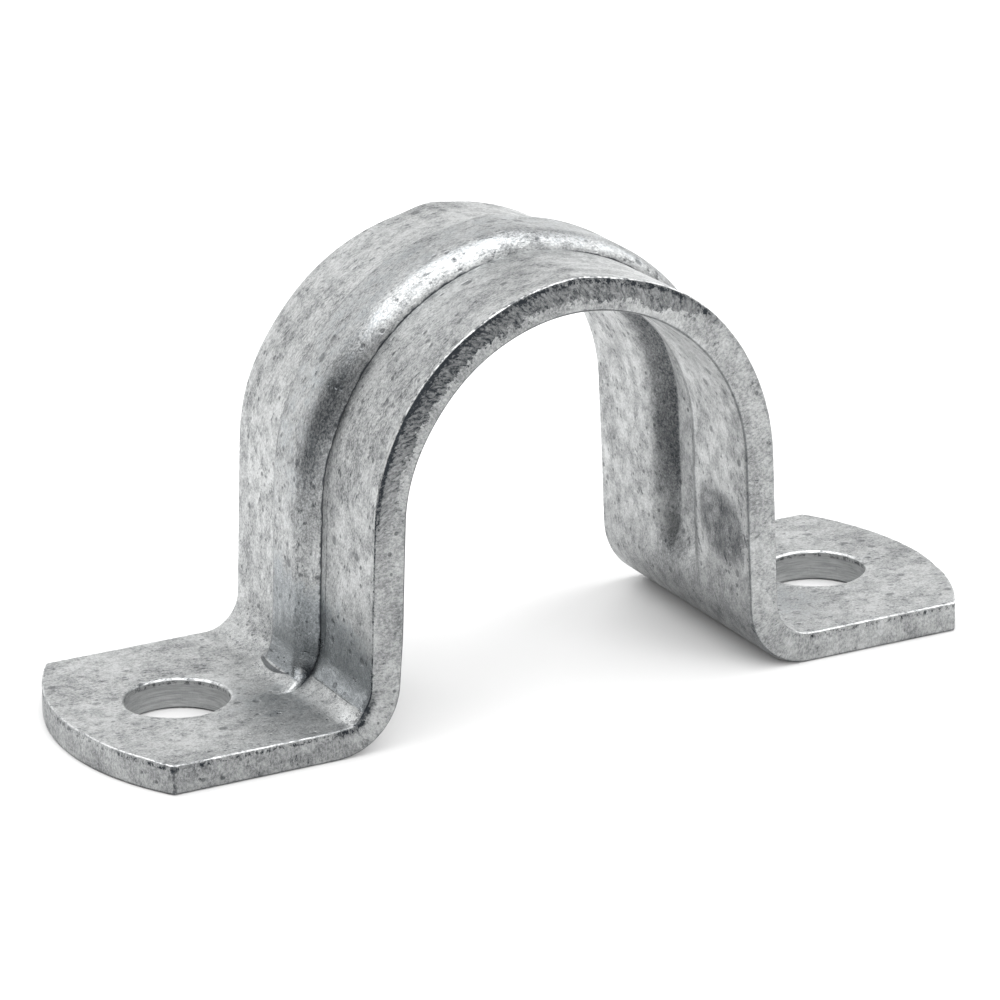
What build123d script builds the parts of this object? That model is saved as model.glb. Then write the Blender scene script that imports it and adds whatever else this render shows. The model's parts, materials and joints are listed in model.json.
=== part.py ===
"""Omega clamp: one pressed steel strap with a round pipe seat, two feet and a stiffening rib.

All sizes are in millimetres. X runs along the strap from foot to foot, Y runs along the pipe,
and Z points up from the surface that the feet stand on. The origin is midway between the feet.
"""
import math
import os

from build123d import *

os.makedirs("parts", exist_ok=True)

# Strap
sheet = 2.9
strap_width = 27.0
edge_break = 0.3

# Pipe seat and legs. The legs spread a little towards the feet, as the press leaves them.
seat_radius = 17.0
seat_height = 19.9
leg_lean = 2.3
bend_radius = 3.4

# Feet and bolt holes
foot_reach = 43.6
foot_end_radius = 24.0
hole_spacing = 65.5
hole_radius = 4.75
hole_rim_round = 0.5

# Rib pressed outwards along the middle of the strap
rib_width = 8.1
rib_height = 1.65
rib_shoulder_radius = 1.5

# Groove that the rib leaves on the inside. Its ends run out just above the bends.
groove_width = 8.0
groove_depth = 1.5
groove_wall_radius = 2.2
groove_end_radius = 4.0
groove_end_gap = 0.7

# The right leg in the side view. Its inner face is straight from the seat to the heel of the bend.
lean = math.radians(leg_lean)
outwards = Vector(math.cos(lean), math.sin(lean))
downwards = Vector(math.sin(lean), -math.cos(lean))
leg_top = Vector(0, seat_height) + outwards * seat_radius
heel_radius = bend_radius + sheet
leg_length = (leg_top.Y + heel_radius * math.sin(lean) - heel_radius) / math.cos(lean)
heel_x = (leg_top + downwards * leg_length + outwards * heel_radius).X
seat_sweep = 180 - 2 * leg_lean
total_height = seat_height + seat_radius + sheet + rib_height


def sheet_line(lift):
    """The strap's side view line that lies this far inside the sheet from its lower face."""
    foot = Line((foot_reach, lift), (heel_x, lift))
    bend = JernArc(foot @ 1, foot % 1, heel_radius - lift, leg_lean - 90)
    leg = Line(bend @ 1, leg_top + outwards * lift)
    JernArc(leg @ 1, leg % 1, seat_radius + lift, seat_sweep)
    mirror([foot, bend, leg], about=Plane.YZ)


with BuildPart() as rib:
    # Side view: all that lies under the crest, less all that lies under the middle of the sheet
    with BuildSketch(Plane.XZ):
        with BuildLine():
            crest_top = leg_top + outwards * (sheet + rib_height)
            crest_foot = crest_top + downwards * crest_top.Y / math.cos(lean)
            crest_leg = Line(crest_foot, crest_top)
            JernArc(crest_leg @ 1, crest_leg % 1, seat_radius + sheet + rib_height, seat_sweep)
            mirror(crest_leg, about=Plane.YZ)
            Line(crest_foot, (-crest_foot.X, 0))
        make_face()
        with BuildLine():
            sheet_line(sheet / 2)
            Polyline(
                (foot_reach, sheet / 2),
                (foot_reach, -sheet),
                (-foot_reach, -sheet),
                (-foot_reach, sheet / 2),
            )
        make_face(mode=Mode.SUBTRACT)
    extrude(amount=rib_width / 2, both=True)
    crest_faces = rib.faces().group_by(Axis.X)[0] + rib.faces().group_by(Axis.X)[-1]
    crest_faces += rib.faces().group_by(Axis.Z)[-1]
    fillet(crest_faces.edges().filter_by(Axis.Y, reverse=True), rib_shoulder_radius)

with BuildPart() as groove:
    # Side view: from the groove's floor right across the seat. The floor curves inwards to run out.
    with BuildSketch(Plane.XZ):
        with BuildLine():
            end_rise = groove_end_gap + math.sqrt(groove_depth * (2 * groove_end_radius - groove_depth))
            floor_top = leg_top + outwards * groove_depth
            floor_leg = Line(floor_top, floor_top + downwards * (leg_length - end_rise))
            JernArc(floor_leg @ 0, -(floor_leg % 0), seat_radius + groove_depth, seat_sweep)
            floor_end = JernArc(floor_leg @ 1, floor_leg % 1, groove_end_radius, leg_lean - 90)
            mirror([floor_leg, floor_end], about=Plane.YZ)
            Line(floor_end @ 1, (-(floor_end @ 1).X, (floor_end @ 1).Y))
        make_face()
    extrude(amount=groove_width / 2, both=True)
    floor_edges = groove.faces().filter_by(Axis.Y).edges().filter_by(Axis.X, reverse=True)
    fillet(floor_edges, groove_wall_radius)

with BuildPart() as strap:
    # Side view of the bent sheet
    with BuildSketch(Plane.XZ):
        with BuildLine():
            sheet_line(0)
            sheet_line(sheet)
            Line((foot_reach, 0), (foot_reach, sheet))
            Line((-foot_reach, 0), (-foot_reach, sheet))
        make_face()
    extrude(amount=strap_width / 2, both=True)

    # Seen from above, each foot ends in an arc
    with BuildSketch():
        with Locations((foot_reach - foot_end_radius, 0), (foot_end_radius - foot_reach, 0)):
            Circle(foot_end_radius)
        Rectangle(2 * (foot_reach - foot_end_radius), strap_width)
        Rectangle(2 * foot_reach, strap_width, mode=Mode.INTERSECT)
    extrude(amount=total_height, both=True, mode=Mode.INTERSECT)
    chamfer(strap.edges().filter_by(Axis.Y, reverse=True), edge_break)

    add(rib.part)
    add(groove.part, mode=Mode.SUBTRACT)

    with Locations((hole_spacing / 2, 0, sheet), (-hole_spacing / 2, 0, sheet)):
        Hole(hole_radius)
    hole_edges = strap.edges(Select.LAST).filter_by(GeomType.CIRCLE)
    fillet(hole_edges.group_by(Axis.Z)[-1], hole_rim_round)
    chamfer(hole_edges.group_by(Axis.Z)[0], edge_break)

strap.part.label = "strap"
export_step(strap.part, "parts/strap.step")
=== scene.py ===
"""The looks of the omega clamp: a pressed and zinc-coated steel strap on a pale studio floor.

The strap is made as the real one is. A flat blank is laid out with its holes and rounded edges,
a rib is raised along its middle and a groove is left under it, and the blank is bent over the pipe.

Lengths are in metres, in the frame's own axes. A point of the flat blank has three numbers: how far
along the strap it lies from the middle, how far across, and how far up from the lower face. The near
side, which faces the camera, has negative across. Out is the distance along the strap from the
middle, to either side. Wear, painted highlights, painted shade and material are placed on the blank
in millimetres.
"""
import json
import math

import bmesh
import bpy
import numpy as np
from mathutils import Matrix, Vector, noise


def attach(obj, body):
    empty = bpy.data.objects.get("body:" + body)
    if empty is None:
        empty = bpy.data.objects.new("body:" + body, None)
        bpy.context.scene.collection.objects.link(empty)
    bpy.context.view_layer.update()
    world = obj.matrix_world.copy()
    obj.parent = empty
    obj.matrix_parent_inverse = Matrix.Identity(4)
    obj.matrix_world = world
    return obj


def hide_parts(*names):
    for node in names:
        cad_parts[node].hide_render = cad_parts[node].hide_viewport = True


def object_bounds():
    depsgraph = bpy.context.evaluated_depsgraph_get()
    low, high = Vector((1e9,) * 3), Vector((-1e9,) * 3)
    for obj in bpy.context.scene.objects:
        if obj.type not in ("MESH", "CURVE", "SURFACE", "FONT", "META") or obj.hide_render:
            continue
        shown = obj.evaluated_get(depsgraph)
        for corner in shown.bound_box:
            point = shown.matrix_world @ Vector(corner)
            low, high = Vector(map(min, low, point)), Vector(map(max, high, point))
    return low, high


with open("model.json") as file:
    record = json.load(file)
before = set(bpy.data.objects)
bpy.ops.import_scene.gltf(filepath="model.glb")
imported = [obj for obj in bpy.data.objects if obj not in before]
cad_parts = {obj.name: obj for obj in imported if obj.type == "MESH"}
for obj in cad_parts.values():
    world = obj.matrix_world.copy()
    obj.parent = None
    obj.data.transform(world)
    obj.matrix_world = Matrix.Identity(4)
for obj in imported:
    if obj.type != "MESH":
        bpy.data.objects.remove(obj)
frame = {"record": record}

MM = 0.001

# Sizes that the frame gives
cad_low, cad_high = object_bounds()
mounts = {mount["name"]: mount for mount in frame["record"]["mounts"]}
seat_radius = mounts["pipe_seat"]["dims"]["r_mm"] * MM
seat_height = mounts["pipe_seat"]["pos_m"][2]
hole_radius = mounts["bolt_holes"]["dims"]["hole_r_mm"] * MM
hole_place = mounts["bolt_holes"]["dims"]["spacing_x_mm"] * MM / 2
foot_reach = cad_high.x
half_width = cad_high.y

# Sizes that the frame doesn't state
sheet = 2.9 * MM
leg_lean = math.radians(2.3)
bend_radius = 3.4 * MM
foot_end_radius = 24 * MM
top_edge_round = 0.18 * MM
low_edge_round = 0.3 * MM
hole_rim_round = 0.3 * MM

# The rib has a tight far shoulder and a wide near one, and its crest flares out into the bend
rib_half_width = 4.05 * MM
rib_height = cad_high.z - seat_height - seat_radius - sheet
rib_far_radius = 1.5 * MM
rib_near_radius = 2.8 * MM
rib_flare_radius = 5.5 * MM
near_shoulder = math.sqrt(rib_near_radius ** 2 - (rib_near_radius - rib_height) ** 2)
near_flat = rib_half_width - near_shoulder
far_flat = rib_half_width - rib_far_radius

# The bend swells in front of the rib's end. It rises and falls past the leg's end, and fades across.
toe_height = 0.6 * MM
toe_rise = (3.4 * MM, 6 * MM)
toe_fall = (7 * MM, 11.4 * MM)
toe_far_fade = (3.2 * MM, 5.2 * MM)

groove_half_width = 4 * MM
groove_depth = 1.5 * MM
groove_floor_near = 2.8 * MM
groove_floor_far = 1.1 * MM
groove_near_edge = 3.85 * MM
groove_end_length = 4.6 * MM
groove_end_gap = 1 * MM
groove_end_narrowing = 0.6 * MM
groove_shoulder_depth = 0.6 * MM

# Side view of the bent strap. The right leg's lower face starts at the seat and ends at the heel.
outwards = np.array([math.cos(leg_lean), math.sin(leg_lean)])
downwards = np.array([math.sin(leg_lean), -math.cos(leg_lean)])
leg_top = np.array([0, seat_height]) + outwards * seat_radius
heel_radius = bend_radius + sheet
leg_length = (leg_top[1] + heel_radius * math.sin(leg_lean) - heel_radius) / math.cos(leg_lean)
heel_centre = leg_top + downwards * leg_length + outwards * heel_radius
bend_angle = math.pi / 2 - leg_lean

# Where each stretch of the blank ends, measured along its lower face from the middle
arch_end = seat_radius * bend_angle
leg_end = arch_end + leg_length
bend_end = leg_end + heel_radius * bend_angle
blank_end = bend_end + foot_reach - heel_centre[0]
hole_along = bend_end + hole_place - heel_centre[0]
corner_along = blank_end - foot_end_radius + math.sqrt(foot_end_radius ** 2 - half_width ** 2)

# The same places in millimetres, for wear and material
LEG_END = leg_end / MM
BEND_END = bend_end / MM
CORNER = corner_along / MM
HALF_WIDTH = half_width / MM
GROOVE_EDGE = groove_near_edge / MM

# Mesh density
CELL = 0.45 * MM
BEND_CELL = 0.3 * MM
HEEL_CELL = 0.38 * MM
TOE_CELL = 0.16 * MM
TOE_START = leg_end + 5.6 * MM
TOE_MIDDLE = leg_end + 8.2 * MM
PATCH_HALF = 6.6 * MM
PATCH_RINGS = 8
PATCH_CROWDING = 1.3
TAIL_CELLS = 9
ROUND_STEPS = 4
WALL_STEPS = 10
NEAR_SHOULDER_STEPS = 12
FAR_SHOULDER_ANGLES = (0, 12, 24, 36, 48, 60, 72, 82)
FOOT_OF_RIB_STEP = 0.03 * MM
BESIDE_RIB = 0.75 * MM
BESIDE_RIB_CELL = 0.12 * MM
GROOVE_CELL = 0.2 * MM
FAR_CREST_CELL = 0.24 * MM


def stretch(start, end, cell=CELL):
    """Evenly spaced places from start up to but not including end."""
    return list(np.linspace(start, end, max(2, round((end - start) / cell)) + 1)[:-1])


def half_columns():
    """Places along one half of the blank, each with its share of the way out to the foot's curved end."""
    patch_start = hole_along - PATCH_HALF
    patch_end = hole_along + PATCH_HALF
    places = stretch(0, arch_end) + stretch(arch_end, leg_end) + stretch(leg_end, TOE_START, HEEL_CELL)
    places += stretch(TOE_START, TOE_MIDDLE, TOE_CELL) + stretch(TOE_MIDDLE, bend_end, BEND_CELL)
    places += stretch(bend_end, patch_start) + stretch(patch_start, patch_end)
    return [(place, 0) for place in places] + [(patch_end, k / TAIL_CELLS) for k in range(TAIL_CELLS + 1)]


def outer_rows():
    """Places across the blank from beside the rib to the cut edge, on either side."""
    step = rib_half_width + FOOT_OF_RIB_STEP
    rows = [rib_half_width] + stretch(step, rib_half_width + BESIDE_RIB, BESIDE_RIB_CELL)
    rows += stretch(rib_half_width + BESIDE_RIB, PATCH_HALF) + stretch(PATCH_HALF, half_width)
    return rows + [half_width]


def near_rows():
    """Places across the near half of the blank, counted from the middle."""
    slope = math.asin(near_shoulder / rib_near_radius)
    angles = [slope * k / NEAR_SHOULDER_STEPS for k in range(NEAR_SHOULDER_STEPS)]
    rows = stretch(0, near_flat) + [near_flat + rib_near_radius * math.sin(angle) for angle in angles]
    return sorted(rows + [groove_floor_near, groove_near_edge]) + outer_rows()


def far_rows():
    """Places across the far half of the blank, counted from the middle."""
    rows = stretch(0, groove_floor_far, GROOVE_CELL) + stretch(groove_floor_far, far_flat, FAR_CREST_CELL)
    rows += [far_flat + rib_far_radius * math.sin(math.radians(angle)) for angle in FAR_SHOULDER_ANGLES]
    return rows + outer_rows()


right = half_columns()
columns = [(-place, share) for place, share in right[:0:-1]] + right
rows = [-place for place in near_rows()[:0:-1]] + far_rows()


def blank_point(column, row, inset):
    """Where a grid point lies on a face of the blank that stops this far inside the outline."""
    place, share = columns[column]
    across = rows[row]
    if abs(across) > PATCH_HALF:
        spread = (half_width - inset - PATCH_HALF) / (half_width - PATCH_HALF)
        across = math.copysign(PATCH_HALF + (abs(across) - PATCH_HALF) * spread, across)
    end = blank_end - foot_end_radius + math.sqrt((foot_end_radius - inset) ** 2 - across ** 2)
    return place + share * (math.copysign(end, place) - place), across


class Blank:
    """The flat blank's points and faces, and how far each point lies inside the nearest cut edge."""

    def __init__(self):
        self.points = []
        self.insets = []
        self.bores = []
        self.faces = []

    def add(self, along, across, up, inset, bore=0.0):
        """Adds a point and returns its number."""
        self.points.append((along, across, up))
        self.insets.append(inset)
        self.bores.append(bore)
        return len(self.points) - 1

    def band(self, first, second):
        """Joins two closed rings of points by a band of faces."""
        for k in range(len(first)):
            after = (k + 1) % len(first)
            self.faces.append((first[k], first[after], second[after], second[k]))


def edge_profile(top_round, low_round):
    """A cut edge from the upper face to the lower one, as steps of (inset, height)."""
    angles = [math.pi / 2 * k / ROUND_STEPS for k in range(1, ROUND_STEPS + 1)]
    top = [(top_round * (1 - math.sin(a)), sheet - top_round * (1 - math.cos(a))) for a in angles]
    wall = [(0, height) for height in np.linspace(sheet - top_round, low_round, WALL_STEPS + 1)[1:]]
    low = [(low_round * (1 - math.sin(a)), low_round * (1 - math.cos(a))) for a in angles[-2::-1]]
    return top + wall + low


def nearest(places, place):
    """The number of the entry that lies nearest to place."""
    return int(np.argmin(np.abs(np.array(places) - place)))


def ring_around(first_column, last_column, first_row, last_row):
    """The grid points around a rectangle of the grid, in order."""
    low = [(column, first_row) for column in range(first_column, last_column)]
    end = [(last_column, row) for row in range(first_row, last_row)]
    high = [(column, last_row) for column in range(last_column, first_column, -1)]
    start = [(first_column, row) for row in range(last_row, first_row, -1)]
    return low + end + high + start


def face_of_blank(blank, level, inset, rim):
    """Adds one broad face with its two holes. Returns its outline and each hole's ring and directions."""
    made = {}

    def corner(column, row):
        if (column, row) not in made:
            made[column, row] = blank.add(*blank_point(column, row, inset), level, inset)
        return made[column, row]

    def in_patch(column, row):
        along = (columns[column][0] + columns[column + 1][0]) / 2
        across = (rows[row] + rows[row + 1]) / 2
        past_end = columns[column][1] or columns[column + 1][1]
        return not past_end and abs(abs(along) - hole_along) < PATCH_HALF and abs(across) < PATCH_HALF

    last_column = len(columns) - 1
    last_row = len(rows) - 1
    for column in range(last_column):
        for row in range(last_row):
            if not in_patch(column, row):
                blank.faces.append((
                    corner(column, row),
                    corner(column + 1, row),
                    corner(column + 1, row + 1),
                    corner(column, row + 1),
                ))
    outline = ring_around(0, last_column, 0, last_row)
    holes = []
    places = [math.inf if share else place for place, share in columns]
    for side in (-1, 1):
        edge = ring_around(
            nearest(places, side * hole_along - PATCH_HALF),
            nearest(places, side * hole_along + PATCH_HALF),
            nearest(rows, -PATCH_HALF),
            nearest(rows, PATCH_HALF),
        )
        centre = np.array([side * hole_along, 0])
        offsets = [np.array(blank_point(*spot, inset)) - centre for spot in edge]
        ring = [corner(*spot) for spot in edge]
        directions = [offset / np.linalg.norm(offset) for offset in offsets]
        rim_radius = hole_radius + rim
        for k in range(1, PATCH_RINGS + 1):
            share = (1 - k / PATCH_RINGS) ** PATCH_CROWDING
            radii = [rim_radius + share * (np.linalg.norm(offset) - rim_radius) for offset in offsets]
            inner = [blank.add(*(centre + d * r), level, inset) for d, r in zip(directions, radii)]
            blank.band(ring, inner)
            ring = inner
        holes.append((centre, ring, directions))
    return outline, [corner(*spot) for spot in outline], holes


def cut_blank():
    """The whole flat blank: two broad faces, the cut edge all round and two punched holes."""
    blank = Blank()
    spots, top_outline, top_holes = face_of_blank(blank, sheet, top_edge_round, hole_rim_round)
    spots, low_outline, low_holes = face_of_blank(blank, 0, low_edge_round, low_edge_round)
    ring = top_outline
    for inset, height in edge_profile(top_edge_round, low_edge_round):
        inner = [blank.add(*blank_point(*spot, inset), height, inset) for spot in spots]
        blank.band(ring, inner)
        ring = inner
    blank.band(ring, low_outline)
    for (centre, ring, directions), (_, low_ring, _) in zip(top_holes, low_holes):
        for inset, height in edge_profile(hole_rim_round, low_edge_round):
            reach = hole_radius + inset
            inner = [blank.add(*(centre + d * reach), height, inset, 1.0) for d in directions]
            blank.band(ring, inner)
            ring = inner
        blank.band(ring, low_ring)
    return blank


def bump(value, centre, width):
    """A smooth bump of height 1 at centre."""
    return np.exp(-((value - centre) / width) ** 2)


def bumps(value, terms):
    """The sum of several bumps, each given as (height, centre, width)."""
    return sum(height * bump(value, centre, width) for height, centre, width in terms)


def smooth(value, start, end):
    """Rises smoothly from 0 at start to 1 at end."""
    share = np.clip((value - start) / (end - start), 0, 1)
    return share * share * (3 - 2 * share)


def plateau(value, rise, fall):
    """Rises smoothly from 0 to 1 between the two places in rise, and falls back between those in fall."""
    return smooth(value, *rise) * (1 - smooth(value, *fall))


def section(across):
    """The rib's cross-section: how far its far shoulder sinks, and its share of the height on the near one."""
    over = np.clip(across - far_flat, 0, rib_far_radius)
    sunk = rib_far_radius - np.sqrt(rib_far_radius ** 2 - over ** 2)
    over = np.clip(-across - near_flat, 0, near_shoulder)
    fall = rib_near_radius - np.sqrt(rib_near_radius ** 2 - over ** 2)
    inside = np.abs(across) <= rib_half_width + 1e-7
    return sunk, inside * np.clip(1 - fall / rib_height, 0, 1)


# The rib is lower right of the crown, by this share of its height and between these turns in degrees
RIB_SLACK = 0.18
RIB_SLACK_TURNS = (-4, 10), (70, 95)


def rib_lift(along, across):
    """How far the rib stands over the upper face. Its crest flares out as it runs down into the bend."""
    turned = np.clip((np.abs(along) - leg_end) / heel_radius, 0, bend_angle)
    room = bend_radius - rib_height
    flare = np.sin(turned) ** 2 / (2 * rib_flare_radius)
    crest = bend_radius - 2 * room / (np.cos(turned) + np.sqrt(np.cos(turned) ** 2 + 4 * flare * room))
    sunk, share = section(across)
    slack = RIB_SLACK * plateau(np.degrees(along / seat_radius), *RIB_SLACK_TURNS)
    return np.clip(crest - sunk, 0, None) * share * (1 - slack)


def toe_lift(along, across):
    """How far the bend swells in front of the rib's end. The rib's near crease runs on along its side."""
    height = toe_height * plateau(np.abs(along) - leg_end, toe_rise, toe_fall)
    far = 1 - smooth(across, *toe_far_fade)
    return height * np.where(across > 0, far, section(across)[1] ** 0.4)


# The rib's near crease strays from a straight line. Each drift is (mm, from, to) and adds to those before
# it, and each sway is (mm, centre, width), about the crown or on either side of it.
CREASE_DRIFTS = (0.68, 19, 27), (0.35, 39, 43.5), (-0.5, 45, 48.5)
CROWN_SWAY = (0.25, 0, 3),
SIDE_SWAY = (-0.15, 13, 6),
CREASE_REACH = -7 * MM


def near_crease_shift(along, across):
    """How far points beside the rib's near crease are drawn towards the rib, or away from it."""
    out = np.abs(along) / MM
    shift = sum(size * smooth(out, start, end) for size, start, end in CREASE_DRIFTS)
    shift = shift + bumps(along / MM, CROWN_SWAY) + bumps(out, SIDE_SWAY)
    return shift * MM * plateau(across, (CREASE_REACH, -rib_half_width), (-rib_half_width, 0))


def groove_lift(along, across):
    """How deep the groove is. Its near wall is steep and its far wall slopes, and its ends fade out."""
    past = np.clip((np.abs(along) - (leg_end - groove_end_gap - groove_end_length)) / groove_end_length, 0, 1)
    depth = groove_depth * (1 - past ** 2) ** 0.9
    near_wall = groove_depth * (across + groove_near_edge) / (groove_near_edge - groove_floor_near)
    slope = groove_depth / (groove_half_width - groove_floor_far)
    floor_far = groove_floor_far - groove_end_narrowing * past ** 2
    far_wall = depth - slope * (across - floor_far)
    k = groove_shoulder_depth
    shoulder = np.where(far_wall > k, far_wall, (np.clip(far_wall, -k, k) + k) ** 2 / (4 * k))
    return np.clip(np.minimum(np.minimum(near_wall, depth), shoulder), 0, None)


# How the worn strap strays from its drawn shape. Heights are in millimetres. Turns are in degrees of the
# seat's circle from the crown, to the right, and NEAR_LOWER_TURNS to the left. Other places are in metres
# along the blank. Bumps are (height, centre, width).
NEAR_UPPER_BUMPS = (0.17, -13, 9), (0.33, 0, 8), (0.28, 36, 22)
NEAR_LOWER_BUMP = (0.19, -52, 18),
NEAR_LOWER_SINK = 0.17
NEAR_LOWER_TURNS = (-10, 25), (120, 140)
FAR_KINK = (0.17, -1, 4),
FAR_SINK = 0.19
FAR_SINK_TURNS = (-75, -50), (-12, -3)
FOOT_EDGE_SINK = {"left": 0.14, "right": 0.1}
HEEL_EDGE_SINK = (0.3, -47.3 * MM, 1.8 * MM),
EDGE_ZONE = 2.5 * MM
WAVE_HEIGHT = 0.035
WAVE_LENGTH = 7 * MM
WAVE_BREADTH = 6 * MM
WAVE_DEPTH = 0.4


def uneven_lift(along, across, share):
    """How far the worn strap strays outward from its drawn shape. The share is 1 on the upper face."""
    turn = np.degrees(along / seat_radius)
    near = np.clip(0.5 - across / (2 * half_width), 0, 1)
    far = 1 - near
    below = NEAR_LOWER_SINK * plateau(-turn, *NEAR_LOWER_TURNS) + bumps(turn, NEAR_LOWER_BUMP)
    lift = near ** 2 * (share * bumps(turn, NEAR_UPPER_BUMPS) - (1 - share) * below)
    lift = lift + far ** 2 * (bumps(turn, FAR_KINK) - FAR_SINK * plateau(turn, *FAR_SINK_TURNS))
    edge = smooth(-across, half_width - EDGE_ZONE, half_width)
    foot = smooth(np.abs(along), bend_end - 2 * MM, bend_end + 1 * MM)
    foot = foot * np.where(along < 0, FOOT_EDGE_SINK["left"], FOOT_EDGE_SINK["right"])
    lift = lift - share * edge * (foot + bumps(along, HEEL_EDGE_SINK))
    waves = [
        noise.noise(Vector((a / WAVE_LENGTH, b / WAVE_BREADTH, s * WAVE_DEPTH)))
        for a, b, s in zip(along, across, share)
    ]
    sole = smooth(np.abs(along), leg_end, bend_end) * (1 - share)
    return (lift + WAVE_HEIGHT * np.array(waves)) * (1 - sole) * MM


def pressed(points):
    """The blank's points with the rib and groove pressed in."""
    along, across, up = points.T
    share = up / sheet
    rib = np.maximum(rib_lift(along, across), toe_lift(along, across))
    up = up + share * rib + (1 - share) * groove_lift(along, across) + uneven_lift(along, across, share)
    return np.stack([along, across + share * near_crease_shift(along, across), up], 1)


def bent(points):
    """The blank's points after the strap is bent over the pipe and its feet are turned out."""
    along, across, up = points.T
    out = np.abs(along)
    # Arch over the pipe
    turn = np.clip(out, 0, arch_end) / seat_radius
    x = (seat_radius + up) * np.sin(turn)
    z = seat_height + (seat_radius + up) * np.cos(turn)
    # Leg
    down = out - arch_end
    on_leg = out > arch_end
    x = np.where(on_leg, leg_top[0] + downwards[0] * down + outwards[0] * up, x)
    z = np.where(on_leg, leg_top[1] + downwards[1] * down + outwards[1] * up, z)
    # Bend at the foot, about a centre above the strap
    turn = np.clip(out - leg_end, 0, heel_radius * bend_angle) / heel_radius
    reach = heel_radius - up
    on_bend = out > leg_end
    x = np.where(on_bend, heel_centre[0] - reach * np.cos(leg_lean + turn), x)
    z = np.where(on_bend, heel_centre[1] - reach * np.sin(leg_lean + turn), z)
    # Foot
    on_foot = out > bend_end
    x = np.where(on_foot, heel_centre[0] + out - bend_end, x)
    z = np.where(on_foot, up, z)
    return np.stack([np.sign(along) * x, across, z], 1)


# Wear, painted highlights and painted shade. A patch is (strength, (centre along, centre across),
# (length, breadth)), in millimetres on the blank. The feet's polish, the bends' painted shade and the
# heels' painted shadow lie on both sides, and are placed out from the middle.
# Polish on the feet, whose tone is painted darker as a dark reflection
FOOT_POLISH_AND_DARK_REFLECTION = (0.47, (BEND_END + 2, -5.5), (4, 5)),
# Painted highlights: places painted lighter where the metal catches light
PAINTED_HIGHLIGHT_PATCHES = (
    (1.2, (-47, -11.3), (1.5, 1.7)),
    (0.35, (-17, -5.7), (5, 1.2)),
    (0.8, (9.4, -10.5), (4, 2.5)),
    (0.25, (-20, -9), (4, 4)),
    (0.25, (-14, 6), (5, 5)),
    (0.3, (-64, 6), (4, 5)),
)
# Painted shade: places painted darker where the metal mirrors darker surroundings
PAINTED_SHADE_PATCHES = (
    (0.67, (-18.5, -3.3), (5, 1.7)),
    (0.402, (-24, -3), (4.5, 1.6)),
    (0.15, (-10, -9), (7, 3)),
    (0.25, (3, -3), (5, 1.6)),
    (0.2, (67, 5), (4, 5)),
    (0.1, (-28, -4), (5, 8)),
)
# Painted shade on the rib's near flank where it meets the bend, and just in front of it
BEND_PAINTED_SHADE = (1.1, (LEG_END + 4.6, -4.0), (2.4, 0.55)), (0.35, (LEG_END + 6.6, -3.0), (1.6, 0.7))
HEEL_SHADOW = (0.4, (LEG_END - 1.8, 1.2), (2.2, 1.6)),
SMUDGE_CENTRE = (33.7, -8.7)
SMUDGE_SIZE = (3.0, 3.7)
SMUDGE_SLANT = 0.15
SMUDGE_REACH = 1.6


def patches(along, across, terms):
    """The sum of several soft oval patches."""
    total = 0
    for strength, centre, size in terms:
        shape = ((along - centre[0]) / size[0]) ** 2 + ((across - centre[1]) / size[1]) ** 2
        total = total + strength * np.exp(-shape)
    return total


def polished_and_dark_reflection(out, across):
    """Smooth places on the upper face where the bending tool rubbed it and along the rib's crest, painted
    darker as a dark reflection.
    """
    rubbed = smooth(out + 0.3 * across, LEG_END - 9.5, LEG_END - 3)
    rubbed = rubbed * (1 - smooth(out, LEG_END + 4.1, LEG_END + 4.5)) * (1 - smooth(across, 2, 5.5))
    rib_end = plateau(out, (LEG_END - 1, LEG_END + 1), (LEG_END + 6.8, LEG_END + 7.2))
    rib_end = 1.4 * rib_end * bump(across, 0.3, 3.4)
    foot = patches(out, across, FOOT_POLISH_AND_DARK_REFLECTION) * smooth(out, LEG_END + 7, LEG_END + 9)
    crest = (1 - smooth(np.abs(across), 3, 4.2)) * (1 - smooth(out, 24, 34))
    return rubbed + rib_end + foot + 0.3 * crest


def inner_painted_shade(out, across):
    """Painted shade on the lower face: on the groove's far wall and floor, and towards the bend."""
    wall = plateau(across, (0.85, 1.1), (1.5, 5)) + 0.15 * bump(across, 1.2, 0.3)
    floor = plateau(across, (-GROOVE_EDGE, -GROOVE_EDGE + 0.2), (3, 4.4))
    end = 1 - smooth(out, LEG_END - 9, LEG_END - 1)
    heel = 0.5 * smooth(out, LEG_END - 5, LEG_END + 2.5) * (1 - 0.35 * smooth(across, 0, 8))
    return 0.5 * wall * end + 0.25 * floor * end + heel + patches(out, across, HEEL_SHADOW)


def smudged(along, across):
    """How far inside the dark smudge on the right leg's inner face a point lies."""
    aside = across - SMUDGE_CENTRE[1]
    ahead = along - SMUDGE_CENTRE[0] + SMUDGE_SLANT * aside
    ring = np.hypot(ahead / SMUDGE_SIZE[0], aside / SMUDGE_SIZE[1])
    return np.clip(SMUDGE_REACH - ring, 0, 1)


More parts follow.
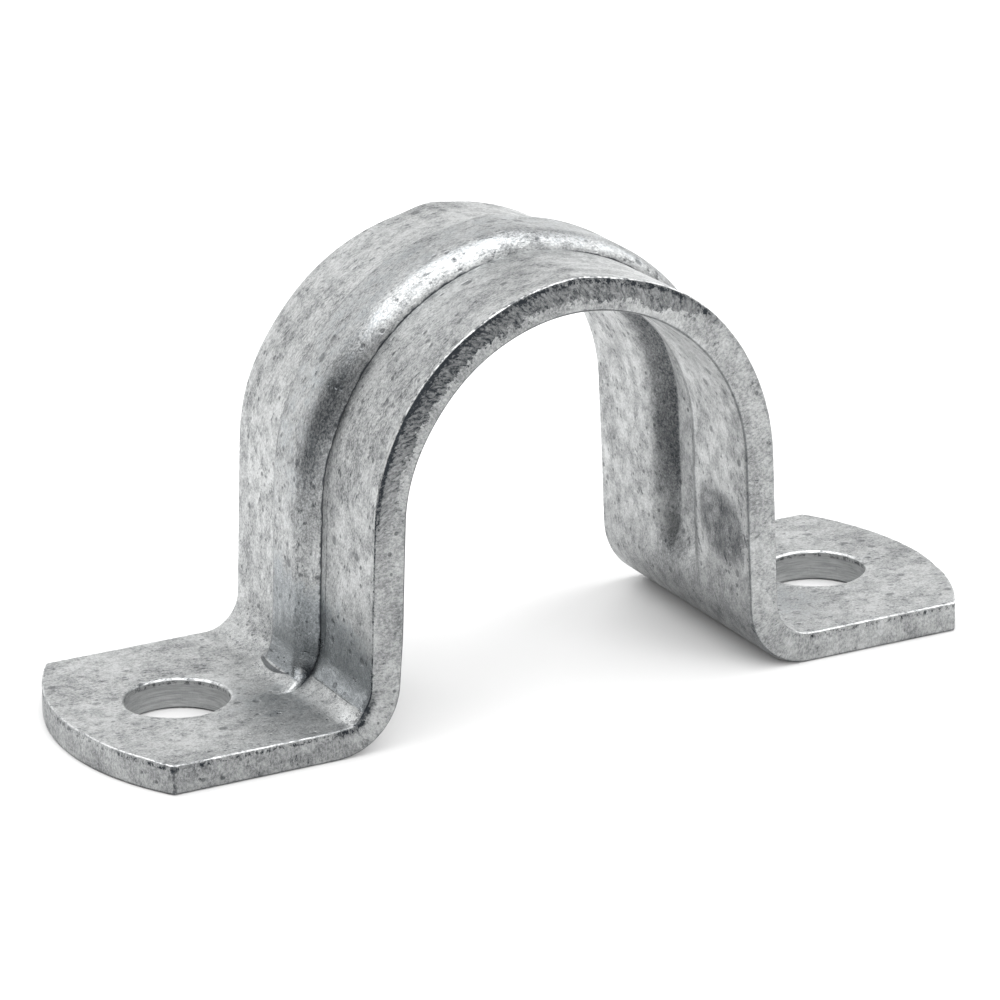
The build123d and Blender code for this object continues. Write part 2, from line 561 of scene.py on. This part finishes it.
def wear_and_painted_light(flat, cut):
    """Where the strap is rubbed smooth, dirty or torn, and where highlights and shade are painted, at each
    point of the blank, each value by its name.
    """
    along, across, up = (flat / MM).T
    out = np.abs(along)
    upper = smooth(up, 1.6, 2.2)
    lower = 1 - upper
    face = 1 - cut
    # Painted shade on the upper face, and in the groove and towards the bend on the lower face
    painted_shade = upper * (patches(out, across, BEND_PAINTED_SHADE) + patches(along, across, PAINTED_SHADE_PATCHES))
    painted_shade = painted_shade + lower * face * inner_painted_shade(out, across)
    # A painted highlight lies along the lip over a cut edge, on the feet and over the left of the arch
    lip_highlight = smooth(out, LEG_END + 7, BEND_END + 1)
    lip_highlight = lip_highlight + smooth(along, -26, -18) * (1 - 0.6 * smooth(along, 6, 16))
    # The sheared edge is torn on its outer side, where the near edge runs over the arch
    near = smooth(-across, HALF_WIDTH - 0.2, HALF_WIDTH - 0.02)
    return {
        "polish_and_dark_reflection": np.clip(upper * polished_and_dark_reflection(out, across) * face, 0, 1),
        "painted_shade": np.clip(painted_shade, 0, 1),
        "smudge": lower * face * smudged(along, across),
        "painted_highlight": upper * patches(along, across, PAINTED_HIGHLIGHT_PATCHES),
        "crease": upper * plateau(out, (1, 6), (LEG_END + 6, LEG_END + 8)),
        "lip_highlight": np.clip(lip_highlight, 0, 1),
        "torn": near * plateau(along, (-28, -23), (4, 15)),
    }


def keep_values(mesh, name, kind, values):
    """Stores a value for each point of the mesh."""
    attribute = mesh.attributes.new(name, kind, "POINT")
    field = "vector" if kind == "FLOAT_VECTOR" else "value"
    attribute.data.foreach_set(field, values.astype(np.float32).ravel())


def build_strap(material):
    """The strap's mesh, with the flat blank's coordinates kept for its material."""
    blank = cut_blank()
    flat = np.array(blank.points)
    raised = pressed(flat)
    shaped = bent(raised)
    mesh = bpy.data.meshes.new("pressed_strap")
    mesh.from_pydata(shaped.tolist(), [], blank.faces)
    cut = 1 - np.clip(np.array(blank.insets) / top_edge_round, 0, 1)
    keep_values(mesh, "flat_mm", "FLOAT_VECTOR", flat / MM)
    keep_values(mesh, "raised_mm", "FLOAT_VECTOR", raised / MM)
    keep_values(mesh, "cut_edge", "FLOAT", cut)
    keep_values(mesh, "bore", "FLOAT", np.array(blank.bores))
    for name, values in wear_and_painted_light(flat, cut).items():
        keep_values(mesh, name, "FLOAT", values)
    body = bmesh.new()
    body.from_mesh(mesh)
    bmesh.ops.recalc_face_normals(body, faces=body.faces)
    body.to_mesh(mesh)
    body.free()
    mesh.shade_smooth()
    mesh.set_sharp_from_angle(angle=math.radians(50))
    mesh.materials.append(material)
    strap = bpy.data.objects.new("pressed_strap", mesh)
    bpy.context.scene.collection.objects.link(strap)
    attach(strap, "root")
    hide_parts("strap")
    return strap


class Shading:
    """Adds nodes to a material. An input is given as a number, a colour or another node's output."""

    def __init__(self, material):
        material.use_nodes = True
        self.tree = material.node_tree
        self.shader = self.tree.nodes["Principled BSDF"]

    def node(self, kind, inputs, **settings):
        """Adds one node, sets it up and fills its inputs."""
        node = self.tree.nodes.new(kind)
        for name, value in settings.items():
            setattr(node, name, value)
        for name, value in inputs.items():
            self.fill(node.inputs[name], value)
        return node

    def fill(self, socket, value):
        """Links an output to the socket, or sets the socket's own value."""
        if isinstance(value, bpy.types.NodeSocket):
            self.tree.links.new(value, socket)
        else:
            socket.default_value = value

    def attribute(self, name, output="Fac"):
        """A value that is kept with the mesh."""
        return self.node("ShaderNodeAttribute", {}, attribute_name=name).outputs[output]

    def math(self, operation, first, second=0.0):
        """Arithmetic on two values."""
        return self.node("ShaderNodeMath", {0: first, 1: second}, operation=operation).outputs[0]

    def fold(self, operation, values):
        """The same arithmetic on several values, from the first on."""
        result = values[0]
        for value in values[1:]:
            result = self.math(operation, result, value)
        return result

    def total(self, *values):
        """The sum of several values."""
        return self.fold("ADD", values)

    def times(self, *values):
        """The product of several values."""
        return self.fold("MULTIPLY", values)

    def largest(self, *values):
        """The largest of several values."""
        return self.fold("MAXIMUM", values)

    def rest(self, value):
        """What is left of 1 once the value is taken away."""
        return self.math("SUBTRACT", 1.0, value)

    def mix(self, share, first, second):
        """A value that runs from first to second as the share runs from 0 to 1."""
        return self.node("ShaderNodeMix", {0: share, 2: first, 3: second}).outputs[0]

    def mix_colour(self, share, first, second):
        """A colour that runs from first to second as the share runs from 0 to 1."""
        return self.node("ShaderNodeMix", {0: share, 6: first, 7: second}, data_type="RGBA").outputs[2]

    def span(self, value, start, end, low=0.0, high=1.0):
        """Runs smoothly from low to high while the value runs from start to end."""
        inputs = {"Value": value, "From Min": start, "From Max": end, "To Min": low, "To Max": high}
        return self.node("ShaderNodeMapRange", inputs, interpolation_type="SMOOTHSTEP").outputs["Result"]

    def fade(self, value, start, end):
        """Falls smoothly from 1 to 0 while the value runs from start to end."""
        return self.span(value, start, end, 1.0, 0.0)

    def stretch(self, value, rise, fall):
        """Rises smoothly from 0 to 1 between the two places in rise, and falls between those in fall."""
        return self.times(self.span(value, *rise), self.fade(value, *fall))

    def line(self, value, centre, core, reach):
        """A line at centre: 1 up to core away from it, and 0 from reach away."""
        return self.fade(self.math("ABSOLUTE", self.math("SUBTRACT", value, centre)), core, reach)

    def vary(self, pattern, low, high, spread=0.2):
        """Runs from low to high as a noise runs across its middle value by the spread to either side."""
        return self.span(pattern, 0.5 - spread, 0.5 + spread, low, high)

    def scaled(self, place, per_mm):
        """A place with its along, across and up parts scaled apart."""
        return self.node("ShaderNodeVectorMath", {0: place, 1: per_mm}, operation="MULTIPLY").outputs[0]

    def turned(self, place, angle, axis):
        """A place turned by an angle in radians about one of the axes."""
        return self.node(
            "ShaderNodeVectorRotate",
            {"Vector": place, "Angle": angle},
            rotation_type=axis,
        ).outputs[0]

    def noise(self, place, per_mm, roughness=0.6, distortion=0.0, detail=3.0):
        """Smooth noise about 0.5, with so many waves to a millimetre along, across and up."""
        inputs = {"Vector": self.scaled(place, per_mm), "Scale": 1.0, "Detail": detail}
        inputs.update({"Roughness": roughness, "Distortion": distortion})
        return self.node("ShaderNodeTexNoise", inputs).outputs["Fac"]

    def pits(self, place, per_mm, size, share):
        """Small round pits: 1 in a pit and 0 around it. Only a share of the cells hold one."""
        cells = self.node("ShaderNodeTexVoronoi", {"Vector": self.scaled(place, per_mm), "Scale": 1.0})
        lot = self.node("ShaderNodeSeparateColor", {"Color": cells.outputs["Color"]}).outputs[0]
        radius = self.span(lot, 1 - share, 1.0, 0.0, size)
        return self.span(self.math("SUBTRACT", radius, cells.outputs["Distance"]), 0.0, size * 0.5)


class ZincSteel(Shading):
    """Zinc-coated steel: mottled and finely grained, with pits, streaks, rubbed places, raw cut edges, painted
    highlights and painted shade.

    A tone runs from 0, dark dirt and painted shade, to 1, pale zinc. Places are in millimetres on the flat
    blank.
    """

    # Added to a place before the patterns are read there
    PATTERN_OFFSET = (0.3, 0.3, 0.37)
    STROKE_ANGLE = 0.35
    FIBRE_ANGLE = 0.6

    ROUGH_TONE = 0.76
    # Rubbed places are smoother, and their tone is painted darker as a dark reflection
    RUBBED_REFLECTION_TONE = 0.39
    EDGE_TONE = 0.66
    BORE_TONE = 0.74
    PALE_ZINC = (0.582, 0.592, 0.591, 1)
    PALE_RUBBED = (0.56, 0.592, 0.608, 1)
    # The dark end of the tone, for dirt and for painted shade
    DARK_DIRT_AND_SHADE = (0.035, 0.04, 0.046, 1)
    # The colour of the painted highlight along the lips
    LIP_HIGHLIGHT_COLOUR = (0.9, 0.91, 0.91, 1)
    RELIEF = 0.045 * MM

    # Lines of painted shade and painted highlight along the strap, by their place across it
    NEAR_CREASE = -4.08
    FAR_CREASE = 4.15
    NEAR_LEDGE = -4.88
    FAR_BROW = 3.05
    CREASE_GLINT = -3.7
    GROOVE_SHADE_LINE = -4.1
    GROOVE_HIGHLIGHT_LINE = -4.85

    # Stretches of the strap, measured out from its middle: where each rises and where it falls
    LEG_LIP = (19.0, 26.0), (46.5, 48.5)
    BEND_LIP = (41.0, 44.5), (48.5, 51.0)
    BEND_STRIP = (40.0, 44.0), (46.5, 48.0)
    LEDGE = (24.0, 28.0), (38.0, 42.0)
    GLINT = (46.2, 47.2), (48.4, 49.6)
    TOOL_LINE = 44.95

    # The painted shade in the crescent under the rib's end bows outwards about its middle
    NOSE_OUT = 47.1
    NOSE_MIDDLE = 1.3
    NOSE_HALF_WIDTH = 3.4
    NOSE_BOW = 1.5
    NOSE_SLANT = 0.04
    NOSE_THICKNESS = 0.12

    def __init__(self, material):
        super().__init__(material)
        parts = self.node("ShaderNodeSeparateXYZ", {0: self.attribute("flat_mm", "Vector")}).outputs
        self.along, self.across, self.up = parts["X"], parts["Y"], parts["Z"]
        self.out = self.math("ABSOLUTE", self.along)
        self.cut = self.attribute("cut_edge")
        self.bore = self.attribute("bore")
        self.smudge = self.attribute("smudge")
        self.lip_highlight = self.attribute("lip_highlight")
        self.torn = self.attribute("torn")
        self.add_patterns()
        self.on_edge = self.span(self.cut, 0.55, 0.95)
        self.off_wall = self.fade(self.cut, 0.75, 0.95)
        self.on_top = self.span(self.up, 2.0, 2.4)
        self.on_left = self.fade(self.along, -1.0, 1.0)
        # Rubbed places: smoother metal, whose tone is painted darker as a dark reflection
        self.rubbed = self.span(
            self.math("ADD", self.attribute("polish_and_dark_reflection"), self.vary(self.mottle, -0.25, 0.25)),
            0.15,
            0.75,
        )

    def add_patterns(self):
        """The noises that several parts of the material share. They follow the pressed surface."""
        place = self.node(
            "ShaderNodeVectorMath",
            {0: self.attribute("raised_mm", "Vector"), 1: self.PATTERN_OFFSET},
        ).outputs[0]
        slanted = self.turned(place, self.STROKE_ANGLE, "Z_AXIS")
        self.place = place
        self.clouds = self.noise(place, (0.14, 0.2, 0.2))
        self.mottle = self.noise(place, (0.7, 0.8, 0.8), 0.7, detail=4.0)
        self.grain = self.noise(place, (4.4, 5.6, 5.6), 0.8)
        self.edge_grain = self.noise(place, (5.5, 5.5, 3.6), 0.8)
        self.blotch = self.span(self.noise(place, (0.9, 1.1, 1.1)), 0.56, 0.64)
        self.strokes = self.span(self.noise(slanted, (0.8, 3.2, 3.2), 0.6, 0.8), 0.61, 0.68)
        self.flecks = self.span(self.noise(slanted, (1.1, 1.7, 1.7), 0.7), 0.62, 0.69)
        self.gleams = self.span(self.noise(slanted, (0.3, 1.9, 1.9), 0.65, 0.7), 0.55, 0.68)
        self.small_pits = self.largest(
            self.pits(place, (0.55, 0.6, 0.6), 0.3, 0.7),
            self.pits(place, (1.2, 1.3, 1.3), 0.34, 0.7),
        )
        self.fibres = self.noise(self.turned(place, self.FIBRE_ANGLE, "Y_AXIS"), (3.6, 1.5, 1.3), 0.75, 0.7)
        self.dotted = self.span(self.noise(place, (1.6, 1.6, 1.4), 0.8), 0.48, 0.6)
        sway = self.vary(self.noise(place, (0.8, 0.0, 0.0)), -0.05, 0.05)
        self.wobble = self.math("ADD", self.across, sway)

    def flat_tone(self):
        """The broad faces: rough zinc, painted darker as a dark reflection where rubbed smooth, and lighter
        under painted highlights.
        """
        calm = self.span(self.up, 0.5, 1.5, 0.7, 1.0)
        rough = self.total(
            self.ROUGH_TONE,
            self.vary(self.clouds, -0.15, 0.11),
            self.vary(self.mottle, -0.2, 0.16, 0.18),
            self.times(self.vary(self.grain, -0.3, 0.24), calm),
            self.times(self.blotch, -0.1),
            self.times(self.strokes, -0.3),
            self.times(self.flecks, -0.26),
            self.times(self.gleams, 0.12),
        )
        rubbed = self.total(
            self.RUBBED_REFLECTION_TONE,
            self.vary(self.mottle, -0.09, 0.09),
            self.vary(self.grain, -0.17, 0.17),
        )
        flat = self.mix(self.rubbed, rough, rubbed)
        flat = self.times(flat, self.rest(self.times(self.small_pits, 0.55)), self.rest(self.smudge_depth()))
        # Painted highlights lighten the faces
        return self.math("ADD", flat, self.times(self.attribute("painted_highlight"), self.vary(self.grain, 0.1, 0.5)))

    def smudge_depth(self):
        """How much the smudge inside the right leg darkens the face. Its border is frayed."""
        frayed = self.total(
            self.smudge,
            self.vary(self.mottle, -0.24, 0.24),
            self.vary(self.grain, -0.16, 0.16),
        )
        depth = self.total(
            self.vary(self.mottle, 0.76, 0.55, 0.15),
            self.vary(self.grain, 0.1, -0.1),
            self.span(self.across, -12.5, -10.5, 0.15, 0.0),
            self.times(self.strokes, 0.12),
        )
        return self.largest(
            self.times(self.span(frayed, 0.42, 0.62), self.span(self.smudge, 0.01, 0.3), depth),
            self.times(self.span(self.smudge, 0.05, 0.2), self.strokes, 0.8),
        )

    def edge_tone(self):
        """The cut edges, which are rougher than the faces."""
        cracks = self.span(self.noise(self.place, (2.4, 2.4, 0.9), 0.75), 0.62, 0.68)
        pits = self.pits(self.place, (1.1, 1.1, 1.1), 0.3, 0.3)
        tone = self.total(
            self.EDGE_TONE,
            # Painted shade darkens the cut edges towards the left foot
            self.span(self.along, -64.0, -34.0, -0.09, 0.02),
            self.vary(self.clouds, -0.12, 0.12),
            self.vary(self.edge_grain, -0.24, 0.2, 0.18),
            self.times(cracks, -0.28),
            # Painted light lifts the cut edges a little on the right
            self.span(self.along, 22.0, 34.0, 0.0, 0.05),
            self.vary(self.mottle, -0.12, 0.12),
        )
        return self.times(tone, self.span(pits, 0.0, 1.0, 1.0, 0.45))

    def torn_tone(self):
        """The metal that tore on its way through the press: dark and fibrous, and paler towards its ends."""
        return self.total(
            self.vary(self.fibres, -0.07, 0.42, 0.22),
            self.vary(self.edge_grain, -0.1, 0.14),
            self.span(self.along, -14.0, 3.0, -0.02, 0.12),
            self.span(self.along, -26.0, -15.0, 0.27, 0.0),
        )

    def torn_share(self):
        """Where the cut edge is torn. The ragged lower border is given by its height in the sheet."""
        ragged = self.noise(self.place, (1.3, 0.2, 1.0), 0.8)
        border = self.total(self.span(self.torn, 0.0, 0.7, 2.3, 0.95), self.vary(ragged, -0.5, 0.5, 0.25))
        return self.times(
            self.span(self.math("SUBTRACT", self.up, border), -0.1, 0.12),
            self.span(self.torn, 0.02, 0.2),
        )

    def lips(self):
        """The lip over a cut edge: what it adds to the tone, with its painted highlight, and how strongly the
        painted highlight colour covers it.
        """
        rounded = self.times(self.span(self.cut, 0.05, 0.3), self.off_wall, self.span(self.up, 1.8, 2.2))
        below = self.times(self.stretch(self.up, (2.2, 2.45), (2.6, 2.8)), self.span(self.cut, 0.5, 0.9))
        leg = self.stretch(self.out, *self.LEG_LIP)
        bend = self.times(self.stretch(self.out, *self.BEND_LIP), self.on_left)
        broken = self.noise(self.place, (0.9, 0.9, 2.2), 0.8)
        torn_line = self.times(
            self.span(self.up, 2.4, 2.62),
            self.span(self.cut, 0.5, 0.9),
            self.span(self.torn, 0.0, 0.6),
            self.span(self.along, -14.0, -4.0, -0.4, -0.1),
            self.vary(self.edge_grain, 1.2, 0.6),
        )
        bend_line = self.times(
            self.span(self.up, 1.9, 2.3),
            self.span(self.cut, 0.2, 0.6),
            bend,
            self.vary(self.mottle, -0.7, -0.3, 0.1),
        )
        added = self.total(
            # The painted highlight along the lip, and dark dotted lines on the legs and under the lip
            self.times(rounded, self.lip_highlight, self.span(broken, 0.36, 0.6, -0.25, 0.3)),
            self.times(rounded, leg, self.span(self.dotted, 0.0, 1.0, -0.3, -0.6)),
            self.times(below, self.dotted, self.largest(bend, self.lip_highlight), -0.5),
            torn_line,
            bend_line,
        )
        # How strongly the pale painted highlight colour covers the lip
        lip_highlight_cover = self.times(
            rounded,
            self.lip_highlight,
            self.span(broken, 0.38, 0.6, 0.1, 0.8),
            self.span(self.out, 26.0, 40.0, 1.0, 0.3),
            self.rest(self.bore),
        )
        return added, lip_highlight_cover

    def rib_crease_shade(self):
        """Painted shade in the creases beside the rib, on the step next to the near one and under the far
        shoulder.
        """
        near = self.line(self.wobble, self.NEAR_CREASE, 0.03, 0.13)
        far = self.times(self.line(self.wobble, self.FAR_CREASE, 0.03, 0.16), 0.4)
        ledge = self.times(
            self.line(self.wobble, self.NEAR_LEDGE, 0.03, 0.13),
            self.stretch(self.out, *self.LEDGE),
            self.span(self.dotted, 0.0, 1.0, 0.4, 0.8),
        )
        brow = self.times(
            self.line(self.wobble, self.FAR_BROW, 0.2, 0.45),
            self.span(self.out, 6.0, 12.0),
            self.on_top,
            0.4,
        )
        return self.times(
            self.total(self.times(self.largest(near, far), 0.95), ledge, brow),
            self.attribute("crease"),
        )

    def rib_end(self):
        """Painted shade in the crescent under the end of the rib."""
        bow = self.math("DIVIDE", self.math("SUBTRACT", self.across, self.NOSE_MIDDLE), self.NOSE_HALF_WIDTH)
        bow = self.largest(self.rest(self.math("POWER", bow, 2.0)), 0.0)
        away = self.math("ABSOLUTE", self.total(
            self.out,
            self.times(bow, -self.NOSE_BOW),
            self.times(self.across, self.NOSE_SLANT),
            -self.NOSE_OUT,
        ))
        thicker = self.times(bow, self.span(self.across, -1.0, 1.0, -0.2, -0.4))
        away = self.total(away, -self.NOSE_THICKNESS, thicker)
        return self.times(
            self.fade(away, -self.NOSE_THICKNESS, self.NOSE_THICKNESS),
            self.span(bow, 0.0, 0.15),
            self.on_top,
            self.span(self.across, 3.6, 4.6, 0.78, 0.5),
        )

    def corner_shade_line(self):
        """A line of painted shade down the near corner of the left foot."""
        away = self.total(
            self.math("ABSOLUTE", self.math("ADD", self.along, CORNER)),
            self.math("ADD", self.across, HALF_WIDTH),
            self.vary(self.mottle, -0.2, 0.2),
            self.span(self.up, 1.9, 2.4, 0.0, -0.3),
        )
        return self.times(self.fade(away, -0.05, 0.25), self.span(self.cut, 0.3, 0.7), 0.7)

    def bend_strip(self):
        """A dirty strip on the left bend, along its near edge."""
        place = self.total(self.across, self.vary(self.mottle, -0.5, 0.5), self.vary(self.grain, -0.25, 0.25))
        return self.times(
            self.fade(place, -12.9, -12.5),
            self.stretch(self.out, *self.BEND_STRIP),
            self.span(self.up, 2.3, 2.6),
            self.on_left,
            0.6,
        )

    def tool_line(self):
        """A fine line that crosses each bend beside the rib, where the tool's edge pressed."""
        reach = self.times(self.fade(self.across, -4.9, -4.6), self.span(self.across, -12.0, -11.0))
        return self.times(self.line(self.out, self.TOOL_LINE, 0.03, 0.12), reach, self.on_top)

    def dirt_and_shade(self, inside, tool_line):
        """Dirt and painted shade: painted shade in patches, creases and corners, along the groove and under
        the cut edge, with the tool line and the bend's dirty strip.
        """
        # Painted shade along the groove's near edge
        groove_edge_shade = self.times(self.line(self.wobble, self.GROOVE_SHADE_LINE, 0.1, 0.4), inside, 0.55)
        # Painted shade on the rounding under the cut edge
        under = self.times(self.span(self.cut, 0.02, 0.3), self.off_wall, self.fade(self.up, 0.5, 0.9))
        return self.largest(
            self.times(self.attribute("painted_shade"), self.vary(self.grain, 1.2, 0.75)),
            self.times(tool_line, 0.5),
            self.rib_crease_shade(),
            self.rib_end(),
            self.corner_shade_line(),
            groove_edge_shade,
            self.times(under, 0.6),
            self.bend_strip(),
        )

    def colour(self, tool_line):
        """The base colour."""
        # On the inner face, as far as the groove's end
        inside = self.times(
            self.rest(self.span(self.up, 0.8, 1.6)),
            self.span(self.out, 34.0, LEG_END, 1.0, 0.6),
            self.fade(self.out, LEG_END - 1, LEG_END + 1),
        )
        # A painted glint at the end of the rib's near crease, and a painted highlight along the groove's near
        # edge
        glint = self.times(
            self.line(self.wobble, self.CREASE_GLINT, 0.05, 0.3),
            self.on_top,
            self.stretch(self.out, *self.GLINT),
        )
        groove_edge_highlight = self.times(
            self.line(self.wobble, self.GROOVE_HIGHLIGHT_LINE, 0.1, 0.4),
            inside,
            self.span(self.out, 28.0, 33.0),
        )
        # The walls of the holes are drawn smooth, with fine lines around them
        rings = self.vary(self.noise(self.place, (0.5, 0.5, 7.0), 0.7), -0.16, 0.16)
        drawn = self.math("ADD", self.BORE_TONE, rings)
        lip, lip_highlight_share = self.lips()
        tone = self.mix(self.on_edge, self.flat_tone(), self.edge_tone())
        tone = self.mix(self.torn_share(), tone, self.torn_tone())
        tone = self.mix(self.times(self.bore, self.on_edge), tone, drawn)
        tone = self.total(tone, lip, self.times(glint, 0.15), self.times(groove_edge_highlight, 0.14))
        tone = self.times(tone, self.rest(self.dirt_and_shade(inside, tool_line)))
        pale = self.mix_colour(self.rubbed, self.PALE_ZINC, self.PALE_RUBBED)
        return self.mix_colour(lip_highlight_share, self.mix_colour(tone, self.DARK_DIRT_AND_SHADE, pale), self.LIP_HIGHLIGHT_COLOUR)

    def roughness(self):
        """Rubbed places are smoother, and cut edges rougher."""
        return self.total(
            0.42,
            self.times(self.rubbed, -0.12),
            self.times(self.on_edge, 0.14),
            self.vary(self.mottle, 0.06, -0.06),
        )

    def relief(self, tool_line):
        """The height of the fine relief."""
        ripples = self.times(
            self.fade(self.math("ABSOLUTE", self.across), 3.4, 4.1),
            self.fade(self.out, 24.0, 34.0),
            self.on_top,
        )
        return self.total(
            self.times(self.grain, self.span(self.rubbed, 0.0, 1.0, 0.8, 0.4)),
            self.times(self.mottle, 0.9),
            self.times(ripples, self.grain, 0.15),
            self.times(self.small_pits, -0.9),
            self.times(self.on_edge, self.edge_grain, 1.2),
            self.times(self.torn, self.span(self.up, 0.8, 1.3), self.fibres, 2.0),
            self.times(tool_line, -0.5),
        )

    def finish(self):
        """Joins everything to the shader."""
        tool_line = self.tool_line()
        bump_inputs = {"Height": self.relief(tool_line), "Strength": 1.0, "Distance": self.RELIEF}
        self.fill(self.shader.inputs["Base Color"], self.colour(tool_line))
        self.fill(self.shader.inputs["Metallic"], 1.0)
        self.fill(self.shader.inputs["Roughness"], self.roughness())
        self.fill(self.shader.inputs["Normal"], self.node("ShaderNodeBump", bump_inputs).outputs["Normal"])


def zinc_steel():
    """The strap's one material."""
    material = bpy.data.materials.new("zinc_steel")
    ZincSteel(material).finish()
    return material


def add_floor():
    """A plain pale floor, larger than the camera sees."""
    size = 3.0
    grey = 0.48
    mesh = bpy.data.meshes.new("floor")
    corners = [(-size, -size, 0), (size, -size, 0), (size, size, 0), (-size, size, 0)]
    mesh.from_pydata(corners, [], [(0, 1, 2, 3)])
    material = bpy.data.materials.new("pale_floor")
    material.use_nodes = True
    shader = material.node_tree.nodes["Principled BSDF"]
    shader.inputs["Base Color"].default_value = (grey, grey, grey, 1)
    shader.inputs["Roughness"].default_value = 0.9
    shader.inputs["Specular IOR Level"].default_value = 0
    mesh.materials.append(material)
    floor = bpy.data.objects.new("floor", mesh)
    bpy.context.scene.collection.objects.link(floor)


def add_light(name, place, target, size, power):
    """A soft rectangular light that points at the target."""
    data = bpy.data.lights.new(name, "AREA")
    data.shape = "RECTANGLE"
    data.size, data.size_y = size
    data.energy = power
    light = bpy.data.objects.new(name, data)
    light.location = place
    light.rotation_euler = (Vector(target) - Vector(place)).to_track_quat("-Z", "Y").to_euler()
    bpy.context.scene.collection.objects.link(light)
    return light


def add_lights():
    """Plain soft studio light. Two fills lighten the floor and aren't mirrored in the metal."""
    middle = (0, 0, 0.02)
    world_strength = 0.35
    add_light("overhead", (-0.05, -0.1, 1.1), middle, (1.9, 1.4), 31)
    add_light("behind", (-0.1, 1.5, 0.5), middle, (3.7, 0.9), 11.5)
    add_light("right", (1.2, 0.3, 0.85), middle, (0.8, 0.8), 7)
    for name, across in (("front_fill", -1.0), ("back_fill", 1.0)):
        fill = add_light(name, (0, across, 0.45), (0, 0, 0), (1.6, 0.5), 23)
        fill.visible_glossy = False
    world = bpy.data.worlds.new("studio")
    world.use_nodes = True
    world.node_tree.nodes["Background"].inputs["Color"].default_value = (1, 1, 1, 1)
    world.node_tree.nodes["Background"].inputs["Strength"].default_value = world_strength
    bpy.context.scene.world = world
    bpy.context.scene.view_settings.view_transform = "Standard"


def add_camera():
    """The photograph's view: from the front left, a little above, through a long lens."""
    azimuth = math.radians(-28.07)
    elevation = math.radians(19.92)
    roll = math.radians(-0.482)
    aim_height = 20.383 * MM
    distance = 470.86 * MM
    shift_right = -0.459 * MM
    shift_up = -4.53 * MM
    back = Vector((
        math.sin(azimuth) * math.cos(elevation),
        -math.cos(azimuth) * math.cos(elevation),
        math.sin(elevation),
    ))
    level = Vector((0, 0, 1)).cross(back).normalized()
    up = back.cross(level)
    across = math.cos(roll) * level + math.sin(roll) * up
    up = math.cos(roll) * up - math.sin(roll) * level
    data = bpy.data.cameras.new("camera")
    data.sensor_width = 36
    data.lens = 189.75
    camera = bpy.data.objects.new("camera", data)
    place = Vector((0, 0, aim_height)) + back * distance + across * shift_right + up * shift_up
    camera.matrix_world = Matrix.Translation(place) @ Matrix((across, up, back)).transposed().to_4x4()
    bpy.context.scene.collection.objects.link(camera)
    bpy.context.scene.camera = camera


add_floor()
add_lights()
add_camera()
build_strap(zinc_steel())
